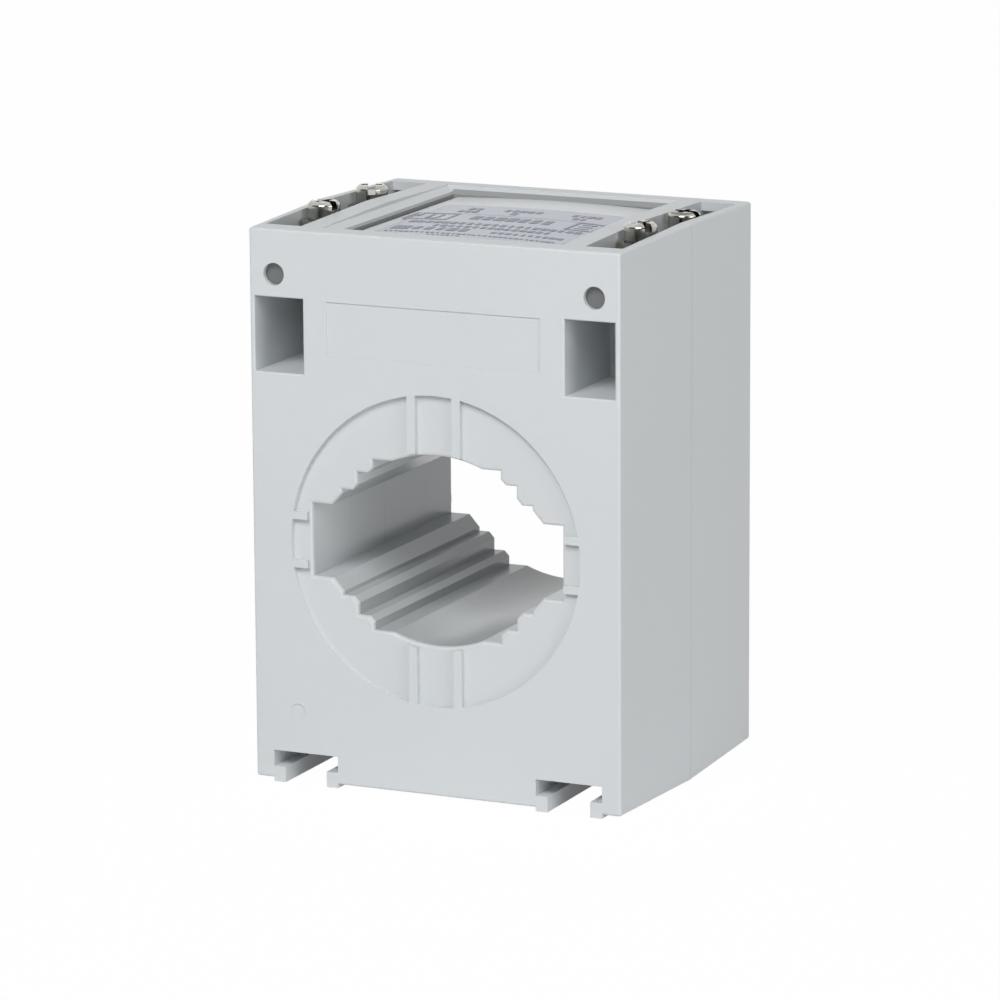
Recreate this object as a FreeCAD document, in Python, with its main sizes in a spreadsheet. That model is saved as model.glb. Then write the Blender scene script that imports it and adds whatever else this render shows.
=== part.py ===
"""Window-type current transformer: two half shells with a stepped busbar window.

X runs across the face, Y from the front face to the rear face, Z up. The origin
is the middle of the footprint, on the plane that the mounting lips stand on.
Lengths are millimetres, angles are degrees.
"""
import FreeCAD
import Part
import Sketcher
import math
import os

DRIVING_SIZES = {
    # outer case
    "case_width": 60.0,
    "case_height": 84.0,
    "case_depth": 50.5,
    "draft_slope": 0.0227,
    "side_wall": 1.2,
    "face_wall": 2.4,
    "case_edge_fillet": 0.4,
    "rear_edge_fillet": 0.9,
    "seam_groove": 0.06,
    # round face recess and its ribs
    "window_height": 37.2,
    "ring_radius": 23.6,
    "ring_depth": 0.8,
    "rib_pitch": 7.3,
    "rib_width": 1.35,
    "side_rib_pitch": 7.4,
    "side_rib_width": 1.2,
    "rib_lap": 0.3,
    "rib_end_gap": 0.5,
    # stepped window, half sizes of each busbar seat
    "bar_a_width": 20.4,
    "bar_a_height": 5.6,
    "bar_b_width": 15.5,
    "bar_b_height": 8.1,
    "bar_c_width": 12.95,
    "bar_c_height": 10.9,
    "bar_d_width": 10.4,
    "bar_d_height": 13.0,
    "round_width": 7.3,
    "round_rise": 1.45,
    "seat_a_flat": 3.2,
    "seat_b_rise": 0.6,
    "step_b_run": 0.85,
    "step_b_rise": 0.95,
    "step_c_run": 0.8,
    "step_c_rise": 0.8,
    "window_edge": 0.4,
    "sleeve_wall": 1.2,
    # feet: two undercut mounting grooves that run from face to face
    "groove_inside": 16.3,
    "groove_outside": 27.0,
    "groove_top": 4.3,
    "lip_top": 1.8,
    "lip_width": 1.9,
    # inside of the shells
    "cavity_floor": 6.0,
    "shoulder_drop": 23.5,
    "roof_drop": 5.0,
    "neck_half_width": 19.4,
    "boss_radius": 1.9,
    "boss_inset": 2.6,
    "pin_radius": 1.0,
    "pin_length": 3.0,
    "pin_clearance": 0.1,
    # wire entries and terminal chambers, drops are below the rim
    "terminal_inset": 4.05,
    "entry_inner_reach": 4.75,
    "entry_outer_reach": 3.25,
    "entry_floor_drop": 21.6,
    "entry_top_drop": 10.25,
    "entry_depth": 16.6,
    "entry_edge": 0.2,
    "chamber_gap": 0.1,
    "chamber_drop": 16.2,
    "chamber_half_length": 12.9,
    "shelf_drop": 8.8,
    "shelf_end_wall": 1.95,
    "rim_band": 1.3,
    "rim_wall": 3.5,
    # label bay in the top
    "bay_half_width": 19.45,
    "bevel_run": 1.85,
    "bevel_drop": 1.0,
    "bay_drop": 3.1,
    "bay_lap": 10.0,
    "plate_gap_side": 0.9,
    "plate_gap_end": 0.3,
    "plate_front_gap": 0.1,
    "plate_sink": 0.35,
    "plate_crown": 0.4,
    "label_left": 14.2,
    "label_right": 16.3,
    "label_front_inset": 1.0,
    "label_length": 31.5,
    "label_thickness": 0.15,
    # small marks on the faces
    "cover_socket_radius": 1.7,
    "cover_socket_depth": 0.95,
    "cover_socket_drop": 6.8,
    "panel_half_width": 17.3,
    "panel_bottom_drop": 18.5,
    "panel_top_drop": 10.4,
    "panel_depth": 0.15,
    "gate_radius": 1.15,
    "gate_inset": 7.2,
    "gate_height": 10.7,
    "gate_depth": 0.12,
    # toroidal core and secondary winding
    "coil_bore_gap": 0.155,
    "coil_gap": 0.25,
    "tape": 0.3,
    "wire_layer": 1.0,
    "core_cap": 0.4,
    "layer_gap": 0.04,
    "cap_split": 6.0,
    # leads
    "lead_radius": 0.6,
    "lead_sleeve": 0.35,
    "lead_foot_x": 6.0,
    "lead_bend": 3.0,
    "lead_gap": 0.1,
    # terminals
    "screw_offset": 8.25,
    "bar_width": 3.6,
    "bar_thickness": 1.6,
    "bar_half_length": 14.5,
    "bar_tab_width": 3.5,
    "bar_tab_end": 16.8,
    "bar_clearance": 0.1,
    "cage_width": 5.7,
    "cage_depth": 5.0,
    "cage_side": 0.8,
    "cage_floor": 1.2,
    "cage_top": 1.4,
    "cage_top_drop": 1.0,
    "cage_bar_gap": 0.2,
    "cage_nose": 1.2,
    "cage_tail": 2.0,
    "cage_bend": 0.5,
    "clamp_drop": 0.8,
    "head_radius": 2.45,
    "head_height": 2.7,
    "head_edge": 0.5,
    "head_seat": 0.05,
    "shank_radius": 1.75,
    "shank_length": 5.3,
    "shank_tip_radius": 1.05,
    "shank_tip_length": 0.7,
    "crown_fillet": 0.3,
    "slot_overrun": 0.5,
    "thread_clearance": 0.06,
    "slot_width": 1.2,
    "slot_depth": 1.2,
    "cross_width": 0.95,
    "cross_length": 3.2,
    "slot_turn_front_left": 70.0,
    "slot_turn_rear_left": 24.8,
    "slot_turn_front_right": 52.0,
    "slot_turn_rear_right": 80.0,
}

BEYOND = 40.0
"""A cut that has to leave the part runs this far."""

ARC_MIDDLE = 1 - math.sqrt(0.5)
"""Where the middle of a rounded edge lies, as a share of its radius."""

PLANE_NORMAL = {"XY_Plane": 1, "XZ_Plane": -1, "YZ_Plane": 1}
"""Which way each plane's sketch normal points along its own axis."""


class Size:
    """A length that carries its value and the sheet formula that it follows."""

    def __init__(self, value, formula):
        self.value = value
        self.formula = formula

    def __add__(self, other):
        other = as_size(other)
        return Size(self.value + other.value, f"({self.formula} + {other.formula})")

    def __radd__(self, other):
        return as_size(other) + self

    def __sub__(self, other):
        other = as_size(other)
        return Size(self.value - other.value, f"({self.formula} - {other.formula})")

    def __rsub__(self, other):
        return as_size(other) - self

    def __mul__(self, factor):
        factor = as_size(factor)
        return Size(self.value * factor.value, f"({self.formula} * {factor.formula})")

    __rmul__ = __mul__

    def __truediv__(self, other):
        other = as_size(other)
        return Size(self.value / other.value, f"({self.formula} / {other.formula})")

    def __neg__(self):
        return self * -1


def as_size(number):
    """A plain number becomes a Size with its own digits as the formula."""
    if isinstance(number, Size):
        return number
    return Size(float(number), repr(float(number)))


doc = FreeCAD.newDocument("current_transformer")
sheet = doc.addObject("Spreadsheet::Sheet", "Sizes")
for row, (alias, number) in enumerate(DRIVING_SIZES.items(), start=1):
    sheet.set(f"A{row}", alias)
    sheet.set(f"B{row}", str(number))
    sheet.setAlias(f"B{row}", alias)
doc.recompute()


def size(alias):
    """The named cell of the sheet."""
    return Size(float(sheet.get(alias)), f"Sizes.{alias}")


def bind(item, field, length):
    """Tie one property to the sheet."""
    item.setExpression(field, as_size(length).formula)


def origin_plane(body, role):
    """The body's own origin plane of that role."""
    return next(plane for plane in body.Origin.OriginFeatures if plane.Role == role)


def sketch_on(body, name, role, at=0.0):
    """A sketch on an origin plane of the body, moved to the coordinate `at`."""
    sketch = body.newObject("Sketcher::SketchObject", name)
    sketch.AttachmentSupport = (origin_plane(body, role), [""])
    sketch.MapMode = "FlatFace"
    bind(sketch, "AttachmentOffset.Base.z", as_size(at) * PLANE_NORMAL[role])
    sketch.recompute()
    return sketch


def pin_point(sketch, edge, point, across, up):
    """Dimension one point of a sketch edge from the sketch's origin."""
    for kind, length in (("DistanceX", across), ("DistanceY", up)):
        length = as_size(length)
        if abs(length.value) < 1e-9:
            axis = -2 if kind == "DistanceX" else -1
            sketch.addConstraint(Sketcher.Constraint("PointOnObject", edge, point, axis))
        else:
            index = sketch.addConstraint(
                Sketcher.Constraint(kind, -1, 1, edge, point, length.value)
            )
            sketch.setExpression(f"Constraints[{index}]", length.formula)


def draw_outline(sketch, corners, arcs=()):
    """A closed outline through the corners; arcs maps a side's number to its rise.

    A side with a rise is an arc that bulges to the right of its direction.
    """
    first = sketch.GeometryCount
    points = [FreeCAD.Vector(as_size(a).value, as_size(b).value, 0) for a, b in corners]
    arcs = dict(arcs)
    for side, start in enumerate(points):
        end = points[(side + 1) % len(points)]
        if side in arcs:
            chord = end - start
            bulge = FreeCAD.Vector(chord.y, -chord.x, 0).normalize() * arcs[side].value
            arc = Part.Arc(start, (start + end) * 0.5 + bulge, end)
            sketch.addGeometry(arc, False)
        else:
            sketch.addGeometry(Part.LineSegment(start, end), False)
    ends = [outline_ends(sketch, first + side, points[side]) for side in range(len(points))]
    for side in range(len(points)):
        after = (side + 1) % len(points)
        sketch.addConstraint(
            Sketcher.Constraint(
                "Coincident", first + side, ends[side][1], first + after, ends[after][0]
            )
        )
    for side, corner in enumerate(corners):
        pin_point(sketch, first + side, ends[side][0], *corner)
    for side, rise in arcs.items():
        start = corners[side]
        end = corners[(side + 1) % len(corners)]
        half_chord = (as_size(end[0]) - start[0]) / 2
        if rise.value < 0:
            rise = -rise
        radius = (half_chord * half_chord + rise * rise) / (rise * 2)
        index = sketch.addConstraint(
            Sketcher.Constraint("Radius", first + side, radius.value)
        )
        sketch.setExpression(f"Constraints[{index}]", radius.formula)


def outline_ends(sketch, edge, start):
    """Which end number of a sketch edge lies at the given start: (start, end)."""
    return (1, 2) if (sketch.getPoint(edge, 1) - start).Length < 1e-6 else (2, 1)


def draw_box(sketch, left, right, low, high):
    """A rectangle with sides along the sketch axes."""
    draw_outline(sketch, [(left, low), (right, low), (right, high), (left, high)])


def draw_circle(sketch, across, up, radius):
    """A circle with its centre and radius dimensioned."""
    centre = FreeCAD.Vector(as_size(across).value, as_size(up).value, 0)
    circle = Part.Circle(centre, FreeCAD.Vector(0, 0, 1), as_size(radius).value)
    edge = sketch.addGeometry(circle, False)
    pin_point(sketch, edge, 3, across, up)
    index = sketch.addConstraint(Sketcher.Constraint("Radius", edge, as_size(radius).value))
    sketch.setExpression(f"Constraints[{index}]", as_size(radius).formula)


def volume(body):
    """Volume of the body as built so far."""
    return body.Shape.Volume if body.Tip else 0.0


def pad(body, sketch, role, length, towards, slope=None):
    """Add the sketch's outline as material, towards +1 or -1 along the plane's axis."""
    before = volume(body)
    feature = body.newObject("PartDesign::Pad", sketch.Name + "_pad")
    feature.Profile = sketch
    bind(feature, "Length", length)
    feature.Reversed = towards * PLANE_NORMAL[role] < 0
    if slope is not None:
        feature.setExpression("TaperAngle", f"atan({slope.formula})")
    doc.recompute()
    if volume(body) <= before:
        raise RuntimeError(f"{sketch.Name} added nothing")
    return feature


def cut(body, sketch, role, length, towards):
    """Remove the sketch's outline from the body, towards +1 or -1."""
    before = volume(body)
    feature = body.newObject("PartDesign::Pocket", sketch.Name + "_cut")
    feature.Profile = sketch
    bind(feature, "Length", length)
    feature.Reversed = towards * PLANE_NORMAL[role] > 0
    doc.recompute()
    if volume(body) >= before:
        raise RuntimeError(f"{sketch.Name} cut nothing")
    return feature


def revolve(body, sketch, axis="V_Axis"):
    """Turn the sketch's outline a full turn about its own axis."""
    feature = body.newObject("PartDesign::Revolution", sketch.Name + "_turned")
    feature.Profile = sketch
    feature.ReferenceAxis = (sketch, [axis])
    feature.Angle = 360.0
    doc.recompute()
    return feature


def round_edges(body, name, radius, wanted):
    """Fillet the edges of the body's tip for which wanted(edge) is true."""
    tip = body.Tip
    names = [
        f"Edge{number}"
        for number, edge in enumerate(tip.Shape.Edges, start=1)
        if wanted(edge)
    ]
    if not names:
        raise RuntimeError(f"{name} found no edge")
    feature = body.newObject("PartDesign::Fillet", name)
    feature.Base = (tip, names)
    bind(feature, "Radius", radius)
    doc.recompute()
    return feature


def round_mouth(body, name, at, facing, radius, draw):
    """Round off an opening's edge in the face at `at`.

    draw(sketch, grow) draws the opening's outline, larger by `grow` all round.
    """
    sections = []
    for depth, grow in ((0.0, 1.0), (ARC_MIDDLE, ARC_MIDDLE), (1.0, 0.0)):
        place = as_size(at) - radius * depth * facing
        sketch = sketch_on(body, f"{name}_mouth_{len(sections)}", "XZ_Plane", place)
        draw(sketch, radius * grow)
        sections.append(sketch)
    before = volume(body)
    mouth = body.newObject("PartDesign::SubtractiveLoft", name + "_mouth")
    mouth.Profile = sections[0]
    mouth.Sections = sections[1:]
    mouth.Ruled = True
    doc.recompute()
    if volume(body) >= before:
        raise RuntimeError(f"{name} mouth cut nothing")


def new_body(label):
    """An empty body that becomes one node."""
    body = doc.addObject("PartDesign::Body", label)
    body.Label = label
    return body


def place(body, across, back, up, turn=None):
    """Put a body that was drawn about its own origin where it belongs."""
    bind(body, "Placement.Base.x", across)
    bind(body, "Placement.Base.y", back)
    bind(body, "Placement.Base.z", up)
    body.Placement.Rotation = FreeCAD.Rotation(FreeCAD.Vector(0, 0, 1), 0)
    if turn is not None:
        bind(body, "Placement.Rotation.Angle", turn)
        body.Placement.Rotation = FreeCAD.Rotation(FreeCAD.Vector(0, 0, 1), turn.value)


# Places that several pieces share
FACE = size("case_depth") / 2
FOOT = size("draft_slope") * FACE
RIM = FOOT + size("case_height")
WINDOW = FOOT + size("window_height")
INNER_FACE = FACE - size("face_wall")
SHELF = RIM - size("shelf_drop")
RIM_END = FACE - size("rim_wall")
BAY_END = FACE - size("rim_wall")
BEVEL_FOOT = RIM - size("bevel_drop")
BAY_INSIDE = size("bay_half_width") - size("bevel_run")
CAVITY_SIDE = size("case_width") / 2 - size("side_wall")
CAGE_TOP = RIM - size("cage_top_drop")
TERMINAL_X = size("case_width") / 2 - size("terminal_inset")
CHAMBER_HALF = size("cage_width") / 2 + size("chamber_gap")
SHOULDER = RIM - size("shoulder_drop")
ROOF = RIM - size("roof_drop")
BAY_FLOOR = RIM - size("bay_drop")
COIL_OUTSIDE = CAVITY_SIDE - size("coil_gap")
SIDES = (-1, 1)


def window_corners(grow):
    """Corners of the stepped window, with every half size larger by `grow`.

    Returns the corners from the lower right corner of the round bottom stretch,
    anticlockwise, and the sides that are arcs.
    """
    seat_a, seat_b, seat_c, seat_d = (
        (size(f"bar_{seat}_width") + grow, size(f"bar_{seat}_height") + grow)
        for seat in "abcd"
    )
    quarter = [
        (size("round_width") + grow * 0, seat_d[1]),
        seat_d,
        (seat_d[0], seat_c[1] + size("step_c_rise")),
        (seat_d[0] + size("step_c_run"), seat_c[1]),
        seat_c,
        (seat_c[0], seat_b[1] + size("step_b_rise")),
        (seat_c[0] + size("step_b_run"), seat_b[1]),
        seat_b,
        (seat_b[0], seat_b[1] - size("seat_b_rise")),
        (seat_a[0] - size("seat_a_flat"), seat_a[1]),
        seat_a,
    ]
    turns = []
    for across, up in ((1, -1), (1, 1), (-1, 1), (-1, -1)):
        points = [(a * across, WINDOW + b * up) for a, b in quarter]
        turns.append(points if across * up < 0 else points[::-1])
    corners = turns[0] + turns[1] + turns[2] + turns[3]
    rise = size("round_rise")
    top_arc = 2 * len(quarter) - 1
    bottom_arc = 4 * len(quarter) - 1
    return corners, {top_arc: rise, bottom_arc: rise}


def sleeve_reach():
    """From the window's axis to the farthest corner of the sleeve's outside."""
    wide = size("bar_a_width") + size("sleeve_wall")
    high = size("bar_a_height") + size("sleeve_wall")
    return Size(
        math.hypot(wide.value, high.value),
        f"sqrt({wide.formula} ^ 2 + {high.formula} ^ 2)",
    )


def draw_ribs(sketch):
    """Outlines of the eight ribs that cross the face recess."""
    reach = size("ring_radius") + size("rib_lap")
    for side in SIDES:
        for up in SIDES:
            middle = size("rib_pitch") / 2 * side
            half = size("rib_width") / 2
            near = WINDOW + size("bar_d_height") * up
            far = WINDOW + reach * up
            draw_box(
                sketch,
                middle - half,
                middle + half,
                near if up > 0 else far,
                far if up > 0 else near,
            )
            middle = WINDOW + size("side_rib_pitch") / 2 * up
            half = size("side_rib_width") / 2
            near = size("bar_a_width") * side
            far = reach * side
            draw_box(
                sketch,
                near if side > 0 else far,
                far if side > 0 else near,
                middle - half,
                middle + half,
            )


def draw_grooves(sketch):
    """The two undercut mounting grooves, seen from the front."""
    inside = size("groove_inside")
    outside = size("groove_outside")
    lip = size("lip_width")
    top = FOOT + size("groove_top")
    ledge = FOOT + size("lip_top")
    for side in SIDES:
        corners = [
            (inside, top),
            (inside, ledge),
            (inside + lip, ledge),
            (inside + lip, -FOOT),
            (outside - lip, -FOOT),
            (outside - lip, ledge),
            (outside, ledge),
            (outside, top),
        ]
        draw_outline(sketch, [(across * side, up) for across, up in corners])


def draw_lips(sketch):
    """The four lips that stand a little proud under the case."""
    inside = size("groove_inside")
    outside = size("groove_outside")
    lip = size("lip_width")
    ledge = FOOT + size("lip_top")
    for side in SIDES:
        for near in (inside, outside - lip):
            edges = sorted((near * side, (near + lip) * side), key=lambda edge: edge.value)
            draw_box(sketch, edges[0], edges[1], 0, ledge)


def draw_both_sides(sketch, inside, outside, low, high):
    """The same rectangle on the left and on the right."""
    draw_box(sketch, inside, outside, low, high)
    draw_box(sketch, -outside, -inside, low, high)


def boss_places():
    """Centres of the four locating bosses, in the corners of the core space."""
    across = CAVITY_SIDE - size("boss_inset")
    low = FOOT + size("cavity_floor") + size("boss_inset")
    high = SHOULDER - size("boss_inset")
    return [(across * side, up) for side in SIDES for up in (low, high)]


def half_shell(label, facing):
    """One half of the case; facing is -1 for the front half, +1 for the rear one."""
    body = new_body(label)
    xz = "XZ_Plane"
    face = FACE * facing
    inner = -facing

    sketch = sketch_on(body, label + "_block", xz, face)
    half_width = size("case_width") / 2
    draw_box(sketch, -half_width, half_width, FOOT, RIM)
    pad(body, sketch, xz, FACE, inner, slope=size("draft_slope"))
    if facing > 0:
        round_edges(body, label + "_uprights", size("rear_edge_fillet"), upright_edge)
    round_edges(body, label + "_corners", size("case_edge_fillet"), case_edge(facing))
    sketch = sketch_on(body, label + "_seam", xz, 0)
    groove = size("seam_groove")
    wide = half_width + FOOT
    draw_box(sketch, -wide - 1, wide + 1, -1, RIM + FOOT + 1)
    draw_box(sketch, groove - wide, wide - groove, groove, RIM + FOOT - groove)
    cut(body, sketch, xz, groove, facing)

    sketch = sketch_on(body, label + "_lips", xz, face)
    draw_lips(sketch)
    pad(body, sketch, xz, FACE, inner)

    sketch = sketch_on(body, label + "_grooves", xz, face)
    draw_grooves(sketch)
    cut(body, sketch, xz, FACE, inner)

    sketch = sketch_on(body, label + "_ring", xz, face)
    draw_circle(sketch, 0, WINDOW, size("ring_radius"))
    cut(body, sketch, xz, size("ring_depth"), inner)

    sketch = sketch_on(body, label + "_ribs", xz, face)
    draw_ribs(sketch)
    pad(body, sketch, xz, size("ring_depth") + size("rib_lap"), inner)

    sketch = sketch_on(body, label + "_core_space", xz, 0)
    draw_outline(
        sketch,
        [
            (-CAVITY_SIDE, FOOT + size("cavity_floor")),
            (CAVITY_SIDE, FOOT + size("cavity_floor")),
            (CAVITY_SIDE, SHOULDER),
            (size("neck_half_width"), SHOULDER),
            (size("neck_half_width"), ROOF),
            (-size("neck_half_width"), ROOF),
            (-size("neck_half_width"), SHOULDER),
            (-CAVITY_SIDE, SHOULDER),
        ],
    )
    cut(body, sketch, xz, INNER_FACE, facing)

    sketch = sketch_on(body, label + "_sleeve", xz, 0)
    corners, arcs = window_corners(size("sleeve_wall"))
    draw_outline(sketch, corners, arcs)
    pad(body, sketch, xz, INNER_FACE + size("rib_lap"), facing)

    sketch = sketch_on(body, label + "_window", xz, 0)
    corners, arcs = window_corners(as_size(0))
    draw_outline(sketch, corners, arcs)
    cut(body, sketch, xz, FACE, facing)

    sketch = sketch_on(body, label + "_rib_ends", xz, face)
    corners, arcs = window_corners(size("rib_end_gap"))
    draw_outline(sketch, corners, arcs)
    cut(body, sketch, xz, size("ring_depth"), inner)

    def window(section, grow):
        draw_outline(section, *window_corners(grow))

    at = face - size("ring_depth") * facing
    round_mouth(body, label + "_window", at, facing, size("window_edge"), window)

    sketch = sketch_on(body, label + "_wire_entries", xz, face)
    low = RIM - size("entry_floor_drop")
    high = RIM - size("entry_top_drop")
    near = TERMINAL_X - size("entry_inner_reach")
    far = TERMINAL_X + size("entry_outer_reach")
    draw_both_sides(sketch, near, far, low, high)
    cut(body, sketch, xz, size("entry_depth"), inner)
    for left, right, hand in ((-far, -near, "left"), (near, far, "right")):

        def entry(section, grow):
            draw_box(section, left - grow, right + grow, low - grow, high + grow)

        name = f"{label}_entry_{hand}"
        round_mouth(body, name, face, facing, size("entry_edge"), entry)

    terminal_chambers(body, label, facing)
    label_bay(body, label, facing)

    sketch = sketch_on(body, label + "_tab_slots", xz, 0)
    margin = size("bar_clearance")
    draw_both_sides(
        sketch,
        size("neck_half_width") - margin,
        TERMINAL_X - CHAMBER_HALF + margin,
        SHELF - margin,
        SHELF + size("bar_thickness") + margin,
    )
    cut(body, sketch, xz, size("bar_tab_width") / 2 + margin, facing)

    sketch = sketch_on(body, label + "_cover_sockets", xz, face)
    for side in SIDES:
        across = TERMINAL_X * side
        up = RIM - size("cover_socket_drop")
        draw_circle(sketch, across, up, size("cover_socket_radius"))
    cut(body, sketch, xz, size("cover_socket_depth"), inner)

    sketch = sketch_on(body, label + "_panel", xz, face)
    half = size("panel_half_width")
    low = RIM - size("panel_bottom_drop")
    draw_box(sketch, -half, half, low, RIM - size("panel_top_drop"))
    cut(body, sketch, xz, size("panel_depth"), inner)

    sketch = sketch_on(body, label + "_gate_mark", xz, face)
    gate_x = size("case_width") / 2 - size("gate_inset")
    draw_circle(sketch, gate_x * facing, FOOT + size("gate_height"), size("gate_radius"))
    cut(body, sketch, xz, size("gate_depth"), inner)

    locating_features(body, label, facing)
    return body


def upright_edge(edge):
    """Test for the plain block's upright edges at its outer face."""
    spot = edge.CenterOfMass
    return abs(spot.y) > FACE.value - 1e-3 and abs(spot.x) > TERMINAL_X.value


def case_edge(facing):
    """Test for the sharp outer edges of the plain block, other than those at the seam."""

    def wanted(edge):
        spot = edge.CenterOfMass
        upright = edge.BoundBox.ZLength > size("case_height").value / 2
        return abs(spot.y) > 1.0 and not (upright and facing > 0)

    return wanted


def terminal_chambers(body, label, facing):
    """The open channel above each pair of clamps, with the bar's shelf at its end."""
    xy = "XY_Plane"
    inside = TERMINAL_X - CHAMBER_HALF
    outside = TERMINAL_X + CHAMBER_HALF

    def channel(name, floor, length, depth):
        sketch = sketch_on(body, label + name, xy, floor)
        near, far = sorted((as_size(0), length * facing), key=lambda edge: edge.value)
        draw_both_sides(sketch, inside, outside, near, far)
        cut(body, sketch, xy, depth, 1)

    floor = RIM - size("chamber_drop")
    channel("_clamp_space", floor, size("chamber_half_length"), BEYOND)
    band = RIM - size("rim_band")
    channel("_shelf_space", SHELF, FACE - size("shelf_end_wall"), band - SHELF)
    channel("_rim_opening", band, RIM_END, BEYOND)


def label_bay(body, label, facing):
    """The bevelled bay in the top that holds the label plate."""
    xy = "XY_Plane"
    wide = size("bay_half_width")
    end_bevel = size("bevel_run") * (1 if facing > 0 else 0)

    def bay(name, height, half, end):
        sketch = sketch_on(body, label + name, xy, height)
        near, far = sorted((size("bay_lap") * -facing, end * facing), key=lambda e: e.value)
        draw_box(sketch, -half, half, near, far)
        return sketch

    sketch = bay("_bay_rim", RIM, wide, BAY_END)
    cut(body, sketch, xy, BEYOND, 1)
    upper = bay("_bevel_rim", RIM, wide, BAY_END)
    lower = bay("_bevel_foot", BEVEL_FOOT, BAY_INSIDE, BAY_END - end_bevel)
    before = volume(body)
    bevel = body.newObject("PartDesign::SubtractiveLoft", label + "_bevel")
    bevel.Profile = upper
    bevel.Sections = [lower]
    bevel.Ruled = True
    doc.recompute()
    if volume(body) >= before:
        raise RuntimeError("the bevel cut nothing")
    sketch = bay("_plate_seat", BAY_FLOOR, BAY_INSIDE, BAY_END - end_bevel)
    cut(body, sketch, xy, BEVEL_FOOT - BAY_FLOOR, 1)


def locating_features(body, label, facing):
    """Bosses inside the corners: pins on the front half, their sockets in the rear."""
    xz = "XZ_Plane"
    sketch = sketch_on(body, label + "_bosses", xz, 0)
    for across, up in boss_places():
        draw_circle(sketch, across, up, size("boss_radius"))
    pad(body, sketch, xz, INNER_FACE + size("rib_lap"), facing)
    sketch = sketch_on(body, label + "_dowels", xz, 0)
    if facing < 0:
        for across, up in boss_places():
            draw_circle(sketch, across, up, size("pin_radius"))
        pad(body, sketch, xz, size("pin_length"), 1)
    else:
        clearance = size("pin_clearance")
        for across, up in boss_places():
            draw_circle(sketch, across, up, size("pin_radius") + clearance)
        cut(body, sketch, xz, size("pin_length") + clearance * 2, 1)


def turned_ring(label, sections):
    """A ring about the window's axis; sections are (inner, outer, front, rear)."""
    body = new_body(label)
    sketch = sketch_on(body, label + "_section", "YZ_Plane", 0)
    for outline in sections:
        draw_outline(sketch, outline)
    revolve(body, sketch, "H_Axis")
    place(body, 0, 0, WINDOW)
    return body


def ring_section(inner, outer, half_length):
    """Rectangle of a ring's section, as corners along the axis and out from it."""
    return [
        (-half_length, inner),
        (half_length, inner),
        (half_length, outer),
        (-half_length, outer),
    ]


def core_parts():
    """Strip-wound core, two insulating caps, the winding and its outer tape."""
    gap = size("layer_gap")
    inner = sleeve_reach() + size("coil_bore_gap")
    outer = COIL_OUTSIDE
    reach = INNER_FACE - size("coil_gap")
    layers = []
    for label, thickness in (
        ("winding_tape", size("tape")),
        ("secondary_winding", size("wire_layer")),
        ("core_cap", size("core_cap")),
    ):
        layers.append((label, inner, outer, reach, thickness))
        inner = inner + thickness + gap
        outer = outer - thickness - gap
        reach = reach - thickness - gap
    turned_ring("ring_core", [ring_section(inner, outer, reach)])
    for label, low, high, end, wall in layers[:2]:
        turned_ring(
            label,
            [
                ring_section(low, high, end),
                ring_section(low + wall, high - wall, end - wall),
            ],
        )
    label, low, high, end, wall = layers[2]
    split = size("cap_split") / 2
    for name, facing in (("front", -1), ("rear", 1)):
        channel = [
            (split, low),
            (end, low),
            (end, high),
            (split, high),
            (split, high - wall),
            (end - wall, high - wall),
            (end - wall, low + wall),
            (split, low + wall),
        ]
        turned_ring(
            f"{label}_{name}",
            [[(along * facing, out) for along, out in channel]],
        )


def lead(label, side, radius, bore=None):
    """A wire or its sleeve, from the winding's top up and out under the bar's tab."""
    body = new_body(label)
    foot = size("lead_foot_x") * side
    bend = size("lead_bend")
    start = WINDOW + COIL_OUTSIDE + size("lead_gap")
    height = SHELF - size("lead_radius") - size("lead_sleeve") - size("lead_gap")
    end = (size("bar_tab_end") + size("bar_tab_width") / 2) * side

    def section(name, role, at, across, up):
        sketch = sketch_on(body, label + name, role, at)
        draw_circle(sketch, across, up, radius)
        if bore is not None:
            draw_circle(sketch, across, up, bore)
        return sketch

    sketch = section("_riser", "XY_Plane", start, foot, 0)
    pad(body, sketch, "XY_Plane", height - bend - start, 1)
    sketch = section("_elbow", "XY_Plane", height - bend, foot, 0)
    centre = foot + bend * side
    axis = sketch.addGeometry(
        Part.LineSegment(
            FreeCAD.Vector(centre.value, 0, 0),
            FreeCAD.Vector(centre.value, bend.value, 0),
        ),
        True,
    )
    pin_point(sketch, axis, 1, centre, 0)
    pin_point(sketch, axis, 2, centre, bend)
    elbow = body.newObject("PartDesign::Revolution", label + "_bend")
    elbow.Profile = sketch
    elbow.ReferenceAxis = (sketch, ["Axis0"])
    elbow.Angle = 90.0
    elbow.Reversed = side < 0
    before = volume(body)
    doc.recompute()
    if body.Shape.BoundBox.ZMax < (height + radius * 0.9).value or volume(body) <= before:
        raise RuntimeError(f"{label} bends the wrong way")
    sketch = section("_run", "YZ_Plane", centre, 0, height)
    pad(body, sketch, "YZ_Plane", (end - centre) * side, side)
    return body


def contact_bar(label, side):
    """Plated strip under both clamps of one terminal, with a tab to the lead."""
    body = new_body(label)
    sketch = sketch_on(body, label + "_strip", "XY_Plane", 0)
    half = size("bar_width") / 2
    length = size("bar_half_length")
    tab = size("bar_tab_width") / 2
    tab_end = TERMINAL_X - size("bar_tab_end")
    corners = [
        (half, -length),
        (half, length),
        (-half, length),
        (-half, tab),
        (-tab_end, tab),
        (-tab_end, -tab),
        (-half, -tab),
        (-half, -length),
    ]
    draw_outline(sketch, [(across * side, back) for across, back in corners])
    pad(body, sketch, "XY_Plane", size("bar_thickness"), 1)
    place(body, TERMINAL_X * side, 0, SHELF)
    return body


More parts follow.
